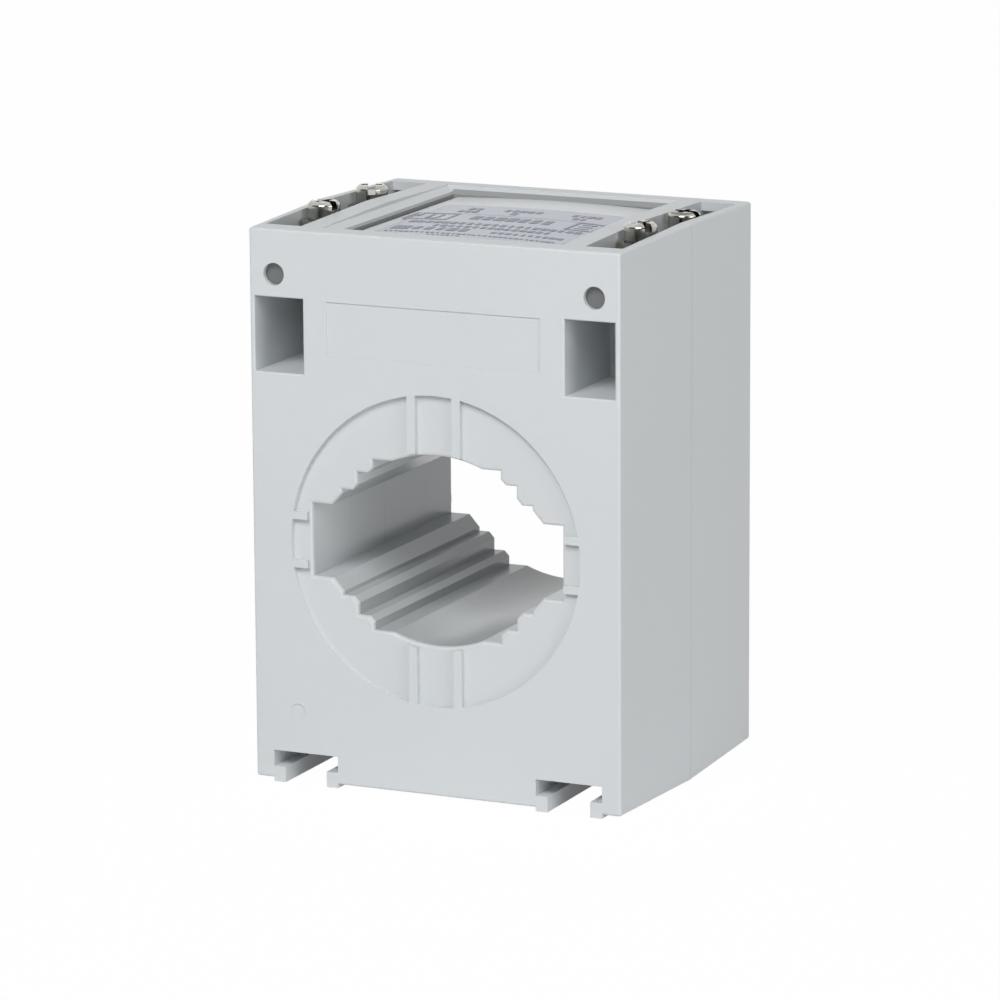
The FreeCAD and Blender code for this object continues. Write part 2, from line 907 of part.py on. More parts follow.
def clamp_cage(label, side, facing, drop):
    """Lifting clamp: a bent strap round the bar, threaded for the screw on top.

    It is drawn for the front, with its round nose towards the face, about the
    screw's axis and with its top at zero.
    """
    body = new_body(label)
    half = size("cage_width") / 2
    wall = size("cage_side")
    top = size("cage_top")
    strap = CAGE_TOP - SHELF + size("cage_bar_gap") + size("cage_floor")
    sketch = sketch_on(body, label + "_strap", "XZ_Plane", -size("cage_depth") / 2)
    draw_box(sketch, -half, half, -strap, 0)
    draw_box(sketch, wall - half, half - wall, size("cage_floor") - strap, -top)
    pad(body, sketch, "XZ_Plane", size("cage_depth"), 1)

    def bent_corner(edge):
        box = edge.BoundBox
        at_side = abs(abs(box.Center.x) - half.value) < 1e-6
        return at_side and box.YLength > 1 and box.XLength < 1e-6 and box.ZLength < 1e-6

    round_edges(body, label + "_bends", size("cage_bend"), bent_corner)

    sketch = sketch_on(body, label + "_top", "XY_Plane", 0)
    nose = size("cage_nose")
    tail = size("cage_tail")
    slim = half - size("cage_bend")
    draw_outline(sketch, [(-slim, -nose), (slim, -nose), (slim, tail), (-slim, tail)])
    pad(body, sketch, "XY_Plane", top, -1)
    sketch = sketch_on(body, label + "_nose", "XY_Plane", 0)
    draw_circle(sketch, 0, -nose, half)
    pad(body, sketch, "XY_Plane", top, -1)
    sketch = sketch_on(body, label + "_thread", "XY_Plane", 0)
    draw_circle(sketch, 0, 0, size("shank_radius") + size("thread_clearance"))
    cut(body, sketch, "XY_Plane", top, -1)
    place(
        body,
        TERMINAL_X * side,
        size("screw_offset") * facing,
        CAGE_TOP - drop,
        as_size(0 if facing < 0 else 180),
    )
    return body


def terminal_screw(label, side, facing, drop, turn):
    """Cheese-head screw with a straight slot and a cross recess."""
    body = new_body(label)
    sketch = sketch_on(body, label + "_profile", "XZ_Plane", 0)
    head = size("head_radius")
    shank = size("shank_radius")
    rise = size("head_height") - size("head_seat")
    edge = size("head_edge")
    tip = size("shank_tip_radius")
    taper = size("shank_tip_length") - size("shank_length")
    draw_outline(
        sketch,
        [
            (0, 0 - size("shank_length")),
            (tip, 0 - size("shank_length")),
            (shank, taper),
            (shank, 0),
            (head, 0),
            (head, rise - edge),
            (head - edge, rise),
            (0, rise),
        ],
    )
    revolve(body, sketch)

    def top_edge(line):
        box = line.BoundBox
        flat = box.ZLength < 1e-6 and box.ZMin > rise.value - edge.value - 1e-6
        return flat and box.XLength > shank.value

    round_edges(body, label + "_crown", size("crown_fillet"), top_edge)
    sketch = sketch_on(body, label + "_slot", "XY_Plane", rise)
    half = size("slot_width") / 2
    reach = head + size("slot_overrun")
    draw_box(sketch, -half, half, -reach, reach)
    cut(body, sketch, "XY_Plane", size("slot_depth"), -1)
    sketch = sketch_on(body, label + "_cross", "XY_Plane", rise)
    half = size("cross_width") / 2
    long = size("cross_length") / 2
    draw_box(sketch, -long, long, -half, half)
    cut(body, sketch, "XY_Plane", size("slot_depth"), -1)
    place(
        body,
        TERMINAL_X * side,
        size("screw_offset") * facing,
        CAGE_TOP - drop + size("head_seat"),
        turn,
    )
    return body


def label_plate():
    """Crowned plate that drops into the bay across both halves."""
    body = new_body("label_plate")
    sketch = sketch_on(body, "plate_section", "XZ_Plane", plate_front())
    half = BAY_INSIDE - size("plate_gap_side")
    low = BAY_FLOOR
    high = BEVEL_FOOT - size("plate_sink")
    draw_outline(
        sketch,
        [(-half, low), (half, low), (half, high), (-half, high)],
        {2: size("plate_crown")},
    )
    pad(body, sketch, "XZ_Plane", plate_length(), 1)
    return body


def plate_front():
    """Front edge of the label plate."""
    return size("plate_front_gap") - BAY_END


def plate_length():
    """From the plate's front edge to its gap at the rear bevel."""
    return BAY_END * 2 - size("bevel_run") - size("plate_gap_end") - size("plate_front_gap")


def rating_label():
    """Thin printed label that follows the plate's crown."""
    body = new_body("rating_label")
    start = plate_front() + size("label_front_inset")
    sketch = sketch_on(body, "label_section", "XZ_Plane", start)
    half = BAY_INSIDE - size("plate_gap_side")
    crown = size("plate_crown")
    radius = (half * half + crown * crown) / (crown * 2)
    wide = size("label_right")
    fall = label_fall(radius, wide)
    high = BEVEL_FOOT - size("plate_sink") + crown - fall
    thick = size("label_thickness")
    draw_outline(
        sketch,
        [(wide, high), (wide, high + thick), (-wide, high + thick), (-wide, high)],
        {1: fall, 3: -fall},
    )
    pad(body, sketch, "XZ_Plane", size("label_length"), 1)
    sketch = sketch_on(body, "label_left_edge", "XZ_Plane", start)
    draw_box(sketch, -half, -size("label_left"), BAY_FLOOR, RIM)
    cut(body, sketch, "XZ_Plane", size("label_length"), 1)
    return body


def label_fall(radius, wide):
    """How far the plate's crown has dropped at the label's edge."""
    root = Size(
        math.sqrt(radius.value ** 2 - wide.value ** 2),
        f"sqrt({radius.formula} ^ 2 - {wide.formula} ^ 2)",
    )
    return radius - root


half_shell("front_shell", -1)
half_shell("rear_shell", 1)
label_plate()
rating_label()
core_parts()
for side, hand in ((-1, "left"), (1, "right")):
    wire = size("lead_radius")
    lead(f"lead_wire_{hand}", side, wire)
    lead(f"lead_sleeve_{hand}", side, wire + size("lead_sleeve"), wire + size("layer_gap"))
    contact_bar(f"contact_bar_{hand}", side)
    for facing, end in ((-1, "front"), (1, "rear")):
        settled = hand == "right" and end == "rear"
        drop = size("clamp_drop") * (1 if settled else 0)
        clamp_cage(f"clamp_cage_{end}_{hand}", side, facing, drop)
        turn = size(f"slot_turn_{end}_{hand}")
        terminal_screw(f"terminal_screw_{end}_{hand}", side, facing, drop, turn)
doc.recompute()

faults = [item.Name for item in doc.Objects if {"Invalid", "Error"} & set(item.State)]
if faults:
    raise RuntimeError(f"failed objects: {faults}")
pieces = [item for item in doc.Objects if item.TypeId == "PartDesign::Body"]
for piece in pieces:
    if piece.Shape.isNull() or not piece.Shape.isValid() or not piece.Shape.Solids:
        raise RuntimeError(f"{piece.Label} has no valid solid")

os.makedirs("parts", exist_ok=True)
for piece in pieces:
    piece.Shape.exportStep(f"parts/{piece.Label}.step")
    box = piece.Shape.BoundBox
    print(
        f"{piece.Label:28s} solids {len(piece.Shape.Solids)} volume {piece.Shape.Volume:9.1f}"
        f" x {box.XMin:7.2f} {box.XMax:7.2f} y {box.YMin:7.2f} {box.YMax:7.2f}"
        f" z {box.ZMin:7.2f} {box.ZMax:7.2f}"
    )
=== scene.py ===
"""Looks of a window-type current transformer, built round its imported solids.

Everything is in metres in the frame of the part: X across the face, Y from the
front face to the rear, Z up, with the origin in the middle of the footprint.
"""
import math

import bpy
from bpy.props import (
    FloatProperty,
    FloatVectorProperty,
    IntProperty,
    PointerProperty,
)
from mathutils import Matrix, Vector


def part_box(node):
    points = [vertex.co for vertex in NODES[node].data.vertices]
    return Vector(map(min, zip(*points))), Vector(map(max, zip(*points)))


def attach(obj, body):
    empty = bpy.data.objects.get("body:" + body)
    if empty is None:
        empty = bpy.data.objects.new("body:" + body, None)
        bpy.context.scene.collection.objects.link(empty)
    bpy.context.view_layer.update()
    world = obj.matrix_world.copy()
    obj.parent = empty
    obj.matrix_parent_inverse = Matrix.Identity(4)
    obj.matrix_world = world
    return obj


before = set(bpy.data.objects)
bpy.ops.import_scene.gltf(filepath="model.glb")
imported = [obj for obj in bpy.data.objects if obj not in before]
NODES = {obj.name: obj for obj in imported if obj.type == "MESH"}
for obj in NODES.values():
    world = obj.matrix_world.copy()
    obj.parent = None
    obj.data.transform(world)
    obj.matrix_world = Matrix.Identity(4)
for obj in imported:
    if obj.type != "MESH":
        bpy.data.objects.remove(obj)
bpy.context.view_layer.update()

bl_info = {
    "name": "Window current transformer",
    "version": (1, 0, 0),
    "blender": (4, 5, 0),
    "location": "3D View > Sidebar > Transformer",
    "description": "Finishes, label print and studio of a busbar current transformer",
    "category": "Object",
}

MM = 0.001
CASE_LOW, CASE_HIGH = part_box("front_shell")
PLATE_LOW, PLATE_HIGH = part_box("label_plate")
CORE_LOW, CORE_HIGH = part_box("ring_core")
LABEL_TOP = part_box("rating_label")[1].z
HALF_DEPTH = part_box("rear_shell")[1].y
WINDOW_AXIS = (CORE_LOW.z + CORE_HIGH.z) / 2
SCREWS = sorted(name for name in NODES if name.startswith("terminal_screw"))
CAGES = sorted(name for name in NODES if name.startswith("clamp_cage"))

# Places on the case that its finish follows, among them the painted shade in the window and in
# the gap round the label plate. Depths are from the front or rear face.
SOCKET_RADIUS = 1.75 * MM
SOCKET_RISE = 0.9133  # share of the case's height
SOCKET_FLOOR = (0.85 * MM, 1.1 * MM)
PLATE_EDGE = 0.1 * MM
PLATE_GAP = 1.4 * MM
PLATE_GAP_DEPTHS = (0.9 * MM, 6.0 * MM)  # below the top
WINDOW_REACH = 21.3 * MM
WINDOW_MARGIN = 1.5 * MM
WINDOW_SHADE = (2.0 * MM, 9.0 * MM)  # painted shade in the window starts that far below the axis, full that much lower
PARTING_HALF_WIDTH = 0.06 * MM
SLEEVE_LINES = (-11.3 * MM, 14.7 * MM)  # places along Y
SLEEVE_HALF_WIDTH = 0.05 * MM

# The screws' drive, below the top of the head, where the nickel is painted dark as shade.
DRIVE_DEPTHS = (0.45 * MM, 1.7 * MM)
DRIVE_RADIUS = 2.2 * MM

# Inner parts that no view shows unless the case is opened.
CORE_LAYER = 0.3 * MM
COIL_TURNS = 120.0
TAPE_LAPS = 14.0
TAPE_SLANT = 20.0
WEAVE = 9000.0

FLOOR_REACH = 6.0
LAMP_AIM = (0.0, 0.0, 0.04)
LAMP_WIDTH = 0.6
KEY_PLACE = (0.06, -0.87, 0.88)
FILL_PLACE = (1.103, -0.358, 0.351)
SENSOR_WIDTH = 36.0  # millimetres


class CaseFinish(bpy.types.PropertyGroup):
    """Moulded plastic of the two half shells and the label plate."""

    colour: FloatVectorProperty(
        name="Case colour",
        description="Light grey of the moulded shells",
        subtype="COLOR",
        size=3,
        default=(0.657, 0.685, 0.698),
    )
    plate_colour: FloatVectorProperty(
        name="Plate colour",
        description="Light grey of the label plate in the top",
        subtype="COLOR",
        size=3,
        default=(0.70, 0.725, 0.735),
    )
    roughness: FloatProperty(
        name="Roughness",
        description="Mean roughness of the moulded skin",
        default=0.42,
        min=0.0,
        max=1.0,
    )
    grain_depth: FloatProperty(
        name="Grain depth",
        description="Height of the fine mould grain",
        subtype="DISTANCE",
        default=0.000012,
    )


class LabelFinish(bpy.types.PropertyGroup):
    """Printed film on the label plate."""

    film_colour: FloatVectorProperty(
        name="Film colour",
        description="Blue-grey ground of the label",
        subtype="COLOR",
        size=3,
        default=(0.36, 0.39, 0.49),
    )
    ink_colour: FloatVectorProperty(
        name="Ink colour",
        description="Navy of the printed bars",
        subtype="COLOR",
        size=3,
        default=(0.028, 0.033, 0.08),
    )
    ink_height: FloatProperty(
        name="Ink height",
        description="How far the print stands above the film",
        subtype="DISTANCE",
        default=0.00003,
    )
    seed: IntProperty(
        name="Seed",
        description="Fixes the lengths of the printed bars",
        default=7,
    )


class MetalFinish(bpy.types.PropertyGroup):
    """Nickel plating of the screws and clamps."""

    nickel: FloatVectorProperty(
        name="Nickel colour",
        description="Warm grey of the nickel plating",
        subtype="COLOR",
        size=3,
        default=(0.54, 0.53, 0.49),
    )
    roughness: FloatProperty(
        name="Roughness",
        description="Mean roughness of the plating",
        default=0.12,
        min=0.0,
        max=1.0,
    )


class StudioSetup(bpy.types.PropertyGroup):
    """Camera, lamps and floor."""

    camera_turn: FloatProperty(
        name="Camera turn",
        description="Angle of the camera round the part, from straight in front to the right",
        subtype="ANGLE",
        default=math.radians(24.736),
    )
    camera_rise: FloatProperty(
        name="Camera rise",
        description="Angle of the camera above the level",
        subtype="ANGLE",
        default=math.radians(12.26),
    )
    camera_roll: FloatProperty(
        name="Camera roll",
        description="Turn of the picture about the line of sight",
        subtype="ANGLE",
        default=math.radians(-0.342),
    )
    camera_distance: FloatProperty(
        name="Camera distance",
        description="From the middle of the part to the camera",
        subtype="DISTANCE",
        default=0.857987,
    )
    aim: FloatVectorProperty(
        name="Aim",
        description="Point that the camera's distance is measured from",
        subtype="TRANSLATION",
        size=3,
        default=(0.0, -0.00025, 0.042573),
    )
    slide: FloatVectorProperty(
        name="Slide",
        description="Move of the camera across and up its own picture",
        subtype="TRANSLATION",
        size=2,
        default=(-0.000663, -0.00178),
    )
    lens: FloatProperty(
        name="Lens",
        description="Focal length in millimetres on a 36 mm frame",
        default=203.851,
    )
    key_power: FloatProperty(
        name="Key lamp",
        description="Power of the soft lamp in front and above, in watts",
        default=10.2,
    )
    fill_power: FloatProperty(
        name="Fill lamp",
        description="Power of the soft lamp on the right, in watts",
        default=3.9,
    )
    room_light: FloatProperty(
        name="Room light",
        description="Strength of the even light from all round",
        default=0.15,
    )
    floor_white: FloatProperty(
        name="Floor white",
        description="Share of plain white that the camera sees in the floor",
        default=0.985,
        min=0.0,
        max=1.0,
    )


class Wire:
    """One output in a material's node tree, on which sums are written as sums."""

    def __init__(self, maker, socket):
        self.maker = maker
        self.socket = socket

    def combine(self, operation, first, second):
        """A Math node on two values."""
        return self.maker.node("ShaderNodeMath", {"operation": operation}, {0: first, 1: second})

    def __add__(self, other):
        return self.combine("ADD", self, other)

    def __radd__(self, other):
        return self.combine("ADD", other, self)

    def __sub__(self, other):
        return self.combine("SUBTRACT", self, other)

    def __rsub__(self, other):
        return self.combine("SUBTRACT", other, self)

    def __mul__(self, other):
        return self.combine("MULTIPLY", self, other)

    def __rmul__(self, other):
        return self.combine("MULTIPLY", other, self)

    def __pow__(self, other):
        return self.combine("POWER", self, other)

    def __gt__(self, other):
        return self.combine("GREATER_THAN", self, other)

    def __lt__(self, other):
        return self.combine("LESS_THAN", self, other)

    def __abs__(self):
        return self.combine("ABSOLUTE", self, 0.0)

    def step(self, low, high):
        """0 at low and on its far side, 1 at high and beyond, smooth between them."""
        settings = {"interpolation_type": "SMOOTHSTEP"}
        values = {"Value": self, "From Min": low, "From Max": high}
        return self.maker.node("ShaderNodeMapRange", settings, values)


class Maker:
    """Builds one node tree."""

    def __init__(self, tree):
        self.tree = tree
        self.tree.nodes.clear()

    def node(self, kind, settings, values, output=0):
        """A node of that kind: its settings first, then its sockets' values or links."""
        node = self.tree.nodes.new(kind)
        for name, value in settings.items():
            setattr(node, name, value)
        for key, value in values.items():
            self.feed(node.inputs[key], value)
        return Wire(self, node.outputs[output])

    def feed(self, socket, value):
        """Link a wire into a socket, or set the socket's own value."""
        if isinstance(value, Wire):
            self.tree.links.new(value.socket, socket)
        elif hasattr(value, "__len__") and socket.type == "RGBA" and len(value) == 3:
            socket.default_value = (*value, 1.0)
        else:
            socket.default_value = value

    def blend(self, factor, first, second):
        """Two colours mixed by a factor."""
        # Of the Mix node's sockets, 0 is the factor, 6 and 7 the colours, 2 the result.
        values = {0: factor, 6: first, 7: second}
        return self.node("ShaderNodeMix", {"data_type": "RGBA"}, values, 2)

    def maths(self, operation, value):
        """A Math node on one value, such as its sine."""
        return self.node("ShaderNodeMath", {"operation": operation}, {0: value})

    def end(self, kind, surface):
        """The output node, which shows `surface`."""
        self.feed(self.tree.nodes.new(kind).inputs["Surface"], surface)


class FinishMaker(Maker):
    """Builds a material round a Principled shader, placed by Object coordinates."""

    def __init__(self, name):
        self.material = bpy.data.materials.new(name)
        self.material.use_nodes = True
        super().__init__(self.material.node_tree)
        self.shader = self.tree.nodes.new("ShaderNodeBsdfPrincipled")
        self.end("ShaderNodeOutputMaterial", Wire(self, self.shader.outputs[0]))
        self.place = self.node("ShaderNodeTexCoord", {}, {}, "Object")

    def set(self, **values):
        """Values or wires for the Principled shader's sockets, with _ for a space."""
        for name, value in values.items():
            self.feed(self.shader.inputs[name.replace("_", " ")], value)

    def axes(self):
        """The place on the piece as three wires, in metres."""
        return [self.node("ShaderNodeSeparateXYZ", {}, {0: self.place}, i) for i in range(3)]

    def noise(self, size, detail=2.0, roughness=0.5, place=None):
        """Noise from 0 to 1 whose blotches are about `size` metres across."""
        values = {
            "Vector": place or self.place,
            "Scale": 1.0 / size,
            "Detail": detail,
            "Roughness": roughness,
        }
        return self.node("ShaderNodeTexNoise", {}, values)

    def stretched(self, scale):
        """The place on the piece, scaled along each axis."""
        return self.node("ShaderNodeMapping", {}, {"Vector": self.place, "Scale": scale})

    def bump(self, height, depth, below=None):
        """Normal from a height between 0 and 1 that stands for `depth` metres."""
        values = {"Height": height, "Distance": depth, "Strength": 1.0}
        if below is not None:
            values["Normal"] = below
        return self.node("ShaderNodeBump", {}, values)

    def soft_edges(self, radius):
        """Normal that rounds hard edges off by a small radius."""
        return self.node("ShaderNodeBevel", {"samples": 6}, {"Radius": radius}, "Normal")


def tint(colour, factor):
    """A colour made lighter or darker."""
    return tuple(channel * factor for channel in colour)


def between(value, low, high):
    """1 where a wire lies between two numbers, else 0."""
    return (value < high) * (value > low)


def distance(across, up, centre):
    """Distance of the surface point from a line through `centre`, seen end-on."""
    first = across - centre[0]
    second = up - centre[1]
    return (first * first + second * second) ** 0.5


def middle_of(name):
    """Middle of a node's box, as distances from the middle across and along."""
    low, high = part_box(name)
    return (abs(low.x + high.x) / 2, abs(low.y + high.y) / 2)


def socket_floors(x, y, z):
    """1 on the floors of the four small round sockets."""
    across = middle_of(CAGES[0])[0]
    up = CASE_LOW.z + (CASE_HIGH.z - CASE_LOW.z) * SOCKET_RISE
    near = distance(abs(x), z, (across, up)) < SOCKET_RADIUS
    shallow, deep = SOCKET_FLOOR
    return near * between(abs(y), HALF_DEPTH - deep, HALF_DEPTH - shallow)


def plate_gap_shade(x, y, z):
    """1 in the gap to the left of the label plate and behind it, where the grey is painted dark
    as shade.
    """
    beside = between(x, PLATE_LOW.x - PLATE_GAP, PLATE_LOW.x + PLATE_EDGE)
    behind = between(y, PLATE_HIGH.y - PLATE_EDGE, PLATE_HIGH.y + PLATE_GAP)
    in_bay = (abs(x) < PLATE_HIGH.x + PLATE_GAP) * (abs(y) < PLATE_HIGH.y + PLATE_GAP)
    shallow, deep = PLATE_GAP_DEPTHS
    at_depth = between(z, CASE_HIGH.z - deep, CASE_HIGH.z - shallow)
    return (beside + behind).step(0.0, 1.0) * in_bay * at_depth


def parting_marks(y):
    """Thin lines round the window where the sleeves meet and the cores parted."""
    line = abs(y) < PARTING_HALF_WIDTH
    for place in SLEEVE_LINES:
        line = line + (abs(y - place) < SLEEVE_HALF_WIDTH) * 0.5
    return line


def case_plastic():
    """Satin light grey moulding, glossier in the window, with painted shade in the window and in
    the gap round the label plate, darker socket floors and faint parting lines.
    """
    finish = bpy.context.scene.case_finish
    maker = FinishMaker("case_plastic")
    x, y, z = maker.axes()
    cloud = maker.noise(0.03, 1.0)
    fine = maker.noise(0.0004, 3.0, 0.6)
    in_window = distance(x, z, (0.0, WINDOW_AXIS)) < WINDOW_REACH
    in_window = in_window * (abs(y) < HALF_DEPTH - WINDOW_MARGIN)
    # Painted shade inside the window: a little all over, more lower down.
    start, length = WINDOW_SHADE
    lower_window_shade = (WINDOW_AXIS - start - z).step(0.0, length)
    base = maker.blend(cloud, tint(finish.colour, 0.975), tint(finish.colour, 1.02))
    # Where the grey darkens, by how large a share, and to which part of it: darker socket
    # floors, painted shade in the gap round the label plate, painted shade in the window that
    # grows lower down, and parting lines.
    for mask, share, shade in (
        (socket_floors(x, y, z), 0.95, 0.22),
        (plate_gap_shade(x, y, z), 0.7, 0.25),
        (in_window, lower_window_shade * 0.45 + 0.1, 0.5),
        (parting_marks(y) * in_window, 0.35, 0.4),
    ):
        base = maker.blend(mask * share, base, tint(finish.colour, shade))
    flow = maker.noise(0.006, 2.0, 0.4, maker.stretched((1.0, 0.45, 1.0)))
    sheen = (flow.step(0.3, 0.7) * 0.05 + 0.16) * in_window
    rough = finish.roughness + (cloud - 0.5) * 0.08 - sheen
    normal = maker.bump(fine, finish.grain_depth, maker.soft_edges(0.06 * MM))
    normal = maker.bump(flow * in_window, 0.03 * MM, normal)
    maker.set(Base_Color=base, Roughness=rough, Normal=normal, IOR=1.5)
    return maker.material


def plate_plastic():
    """Smooth light grey plate under the label."""
    finish = bpy.context.scene.case_finish
    maker = FinishMaker("plate_plastic")
    cloud = maker.noise(0.012, 1.0)
    base = maker.blend(cloud, tint(finish.plate_colour, 0.98), tint(finish.plate_colour, 1.02))
    normal = maker.soft_edges(0.12 * MM)
    maker.set(Base_Color=base, Roughness=0.3 + cloud * 0.06, Normal=normal, Coat_Weight=0.15)
    return maker.material


def label_film():
    """Glossy blue-grey film."""
    finish = bpy.context.scene.label_finish
    maker = FinishMaker("label_film")
    cloud = maker.noise(0.01, 2.0)
    base = maker.blend(cloud, tint(finish.film_colour, 0.95), tint(finish.film_colour, 1.05))
    ripple = maker.noise(0.004, 1.0)
    normal = maker.bump(ripple, 0.02 * MM)
    maker.set(Base_Color=base, Roughness=0.16 + cloud * 0.06, Normal=normal)
    return maker.material


def label_ink():
    """Navy print with a little loss of ink."""
    finish = bpy.context.scene.label_finish
    maker = FinishMaker("label_ink")
    speck = maker.noise(0.0005, 2.0).step(0.35, 0.65)
    base = maker.blend(speck * 0.35, finish.ink_colour, finish.film_colour)
    maker.set(Base_Color=base, Roughness=0.25 + speck * 0.1)
    return maker.material


def nickel(name, has_drive):
    """Blotched and finely scratched nickel plating, with painted shade in a screw's slot and
    cross.
    """
    finish = bpy.context.scene.metal_finish
    maker = FinishMaker(name)
    blot = maker.noise(0.0016, 2.0, 0.5)
    scratch = maker.noise(0.0002, 2.0, 0.5, maker.stretched((1.0, 1.0, 0.15)))
    base = maker.blend(blot.step(0.4, 0.7) * 0.6, finish.nickel, tint(finish.nickel, 0.5))
    scratch_depth = 0.004 * MM
    if has_drive:
        x, y, z = maker.axes()
        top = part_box(SCREWS[0])[1].z
        shallow, deep = DRIVE_DEPTHS
        # Painted shade in the slot and cross of the drive.
        drive_shade = between(z, top - deep, top - shallow)
        drive_shade = drive_shade * (distance(abs(x), abs(y), middle_of(SCREWS[0])) < DRIVE_RADIUS)
        base = maker.blend(drive_shade * 0.55, base, tint(finish.nickel, 0.12))
        scratch_depth = 0.002 * MM
    rough = finish.roughness + blot * 0.1
    normal = maker.bump(scratch, scratch_depth, maker.soft_edges(0.03 * MM))
    maker.set(Base_Color=base, Metallic=1.0, Roughness=rough, Normal=normal)
    return maker.material


def wound_steel():
    """End faces of a strip-wound core: many thin layers about the window's axis."""
    maker = FinishMaker("wound_steel")
    x, y, z = maker.axes()
    radius = distance(x, z, (0.0, WINDOW_AXIS))
    shade = maker.maths("SINE", radius * (math.tau / CORE_LAYER)) * 0.5 + 0.5
    base = maker.blend(shade, (0.16, 0.17, 0.18), (0.36, 0.37, 0.38))
    maker.set(Base_Color=base, Metallic=0.9, Roughness=0.38 + shade * 0.1)
    maker.set(Normal=maker.bump(shade, 0.03 * MM))
    return maker.material


def angle_round_window(maker, x, z):
    """Angle of the surface point about the window's axis, in radians."""
    return maker.node("ShaderNodeMath", {"operation": "ARCTAN2"}, {0: z - WINDOW_AXIS, 1: x})


def enamelled_copper():
    """Red-brown enamelled wire, wound side by side round the ring, with painted shade in the
    grooves between the turns.
    """
    maker = FinishMaker("enamelled_copper")
    x, y, z = maker.axes()
    groove = maker.maths("SINE", angle_round_window(maker, x, z) * COIL_TURNS) * 0.5 + 0.5
    # Painted shade in the grooves between the turns.
    base = maker.blend(groove, (0.13, 0.035, 0.012), (0.42, 0.13, 0.045))
    maker.set(Base_Color=base, Roughness=0.22 + groove * 0.1, Coat_Weight=0.5)
    maker.set(Normal=maker.bump(groove, 0.25 * MM))
    return maker.material


def wrapped_tape():
    """Cream tape wound over the coil, with lapped edges."""
    maker = FinishMaker("wrapped_tape")
    x, y, z = maker.axes()
    angle = angle_round_window(maker, x, z)
    lap = maker.maths("FRACT", angle * (TAPE_LAPS / math.tau) + y * TAPE_SLANT)
    base = maker.blend(lap.step(0.0, 0.15), (0.42, 0.36, 0.16), (0.72, 0.65, 0.36))
    maker.set(Base_Color=base, Roughness=0.35 + lap * 0.1)
    maker.set(Normal=maker.bump(lap, 0.1 * MM))
    return maker.material


def pressboard():
    """Buff board with short fibres."""
    maker = FinishMaker("pressboard")
    fibre = maker.noise(0.0008, 4.0, 0.7, maker.stretched((1.0, 3.0, 1.0)))
    base = maker.blend(fibre, (0.5, 0.41, 0.24), (0.7, 0.6, 0.4))
    maker.set(Base_Color=base, Roughness=0.8 + fibre * 0.1)
    maker.set(Normal=maker.bump(fibre, 0.03 * MM))
    return maker.material


def braided_sleeving():
    """White varnished sleeving with a fine weave."""
    maker = FinishMaker("braided_sleeving")
    x, y, z = maker.axes()
    first = maker.maths("SINE", (x + z + y) * WEAVE)
    second = maker.maths("SINE", (x + z - y) * WEAVE)
    weave = first * second * 0.5 + 0.5
    base = maker.blend(weave, (0.55, 0.54, 0.5), (0.8, 0.79, 0.74))
    maker.set(Base_Color=base, Roughness=0.6 + weave * 0.1)
    maker.set(Normal=maker.bump(weave, 0.04 * MM))
    return maker.material


def dress(names, material):
    """Give CAD nodes a finish in all their material slots."""
    for name in names:
        mesh = NODES[name].data
        if not mesh.materials:
            mesh.materials.append(material)
        for index in range(len(mesh.materials)):
            mesh.materials[index] = material


class TRANSFORMER_OT_case(bpy.types.Operator):
    """Finish the two half shells and the label plate"""

    bl_idname = "transformer.case"
    bl_label = "Case"

    def execute(self, context):
        dress(["front_shell", "rear_shell"], case_plastic())
        dress(["label_plate"], plate_plastic())
        return {"FINISHED"}


class TRANSFORMER_OT_terminals(bpy.types.Operator):
    """Finish the screws, clamps and contact bars"""

    bl_idname = "transformer.terminals"
    bl_label = "Terminals"

    def execute(self, context):
        dress(SCREWS, nickel("screw_nickel", True))
        dress(CAGES + ["contact_bar_left", "contact_bar_right"], nickel("strip_nickel", False))
        return {"FINISHED"}


class TRANSFORMER_OT_core(bpy.types.Operator):
    """Finish the core, its winding and the leads"""

    bl_idname = "transformer.core"
    bl_label = "Core and winding"

    def execute(self, context):
        copper = enamelled_copper()
        dress(["ring_core"], wound_steel())
        dress(["core_cap_front", "core_cap_rear"], pressboard())
        dress(["secondary_winding", "lead_wire_left", "lead_wire_right"], copper)
        dress(["winding_tape"], wrapped_tape())
        dress(["lead_sleeve_left", "lead_sleeve_right"], braided_sleeving())
        return {"FINISHED"}


ROW_INPUTS = (
    ("Count", "NodeSocketInt"),
    ("Start", "NodeSocketVector"),
    ("Pitch", "NodeSocketFloat"),
    ("Height", "NodeSocketFloat"),
    ("Shortest", "NodeSocketFloat"),
    ("Longest", "NodeSocketFloat"),
    ("Top", "NodeSocketFloat"),
    ("Crown", "NodeSocketFloat"),
    ("Seed", "NodeSocketInt"),
    ("Ink", "NodeSocketMaterial"),
)


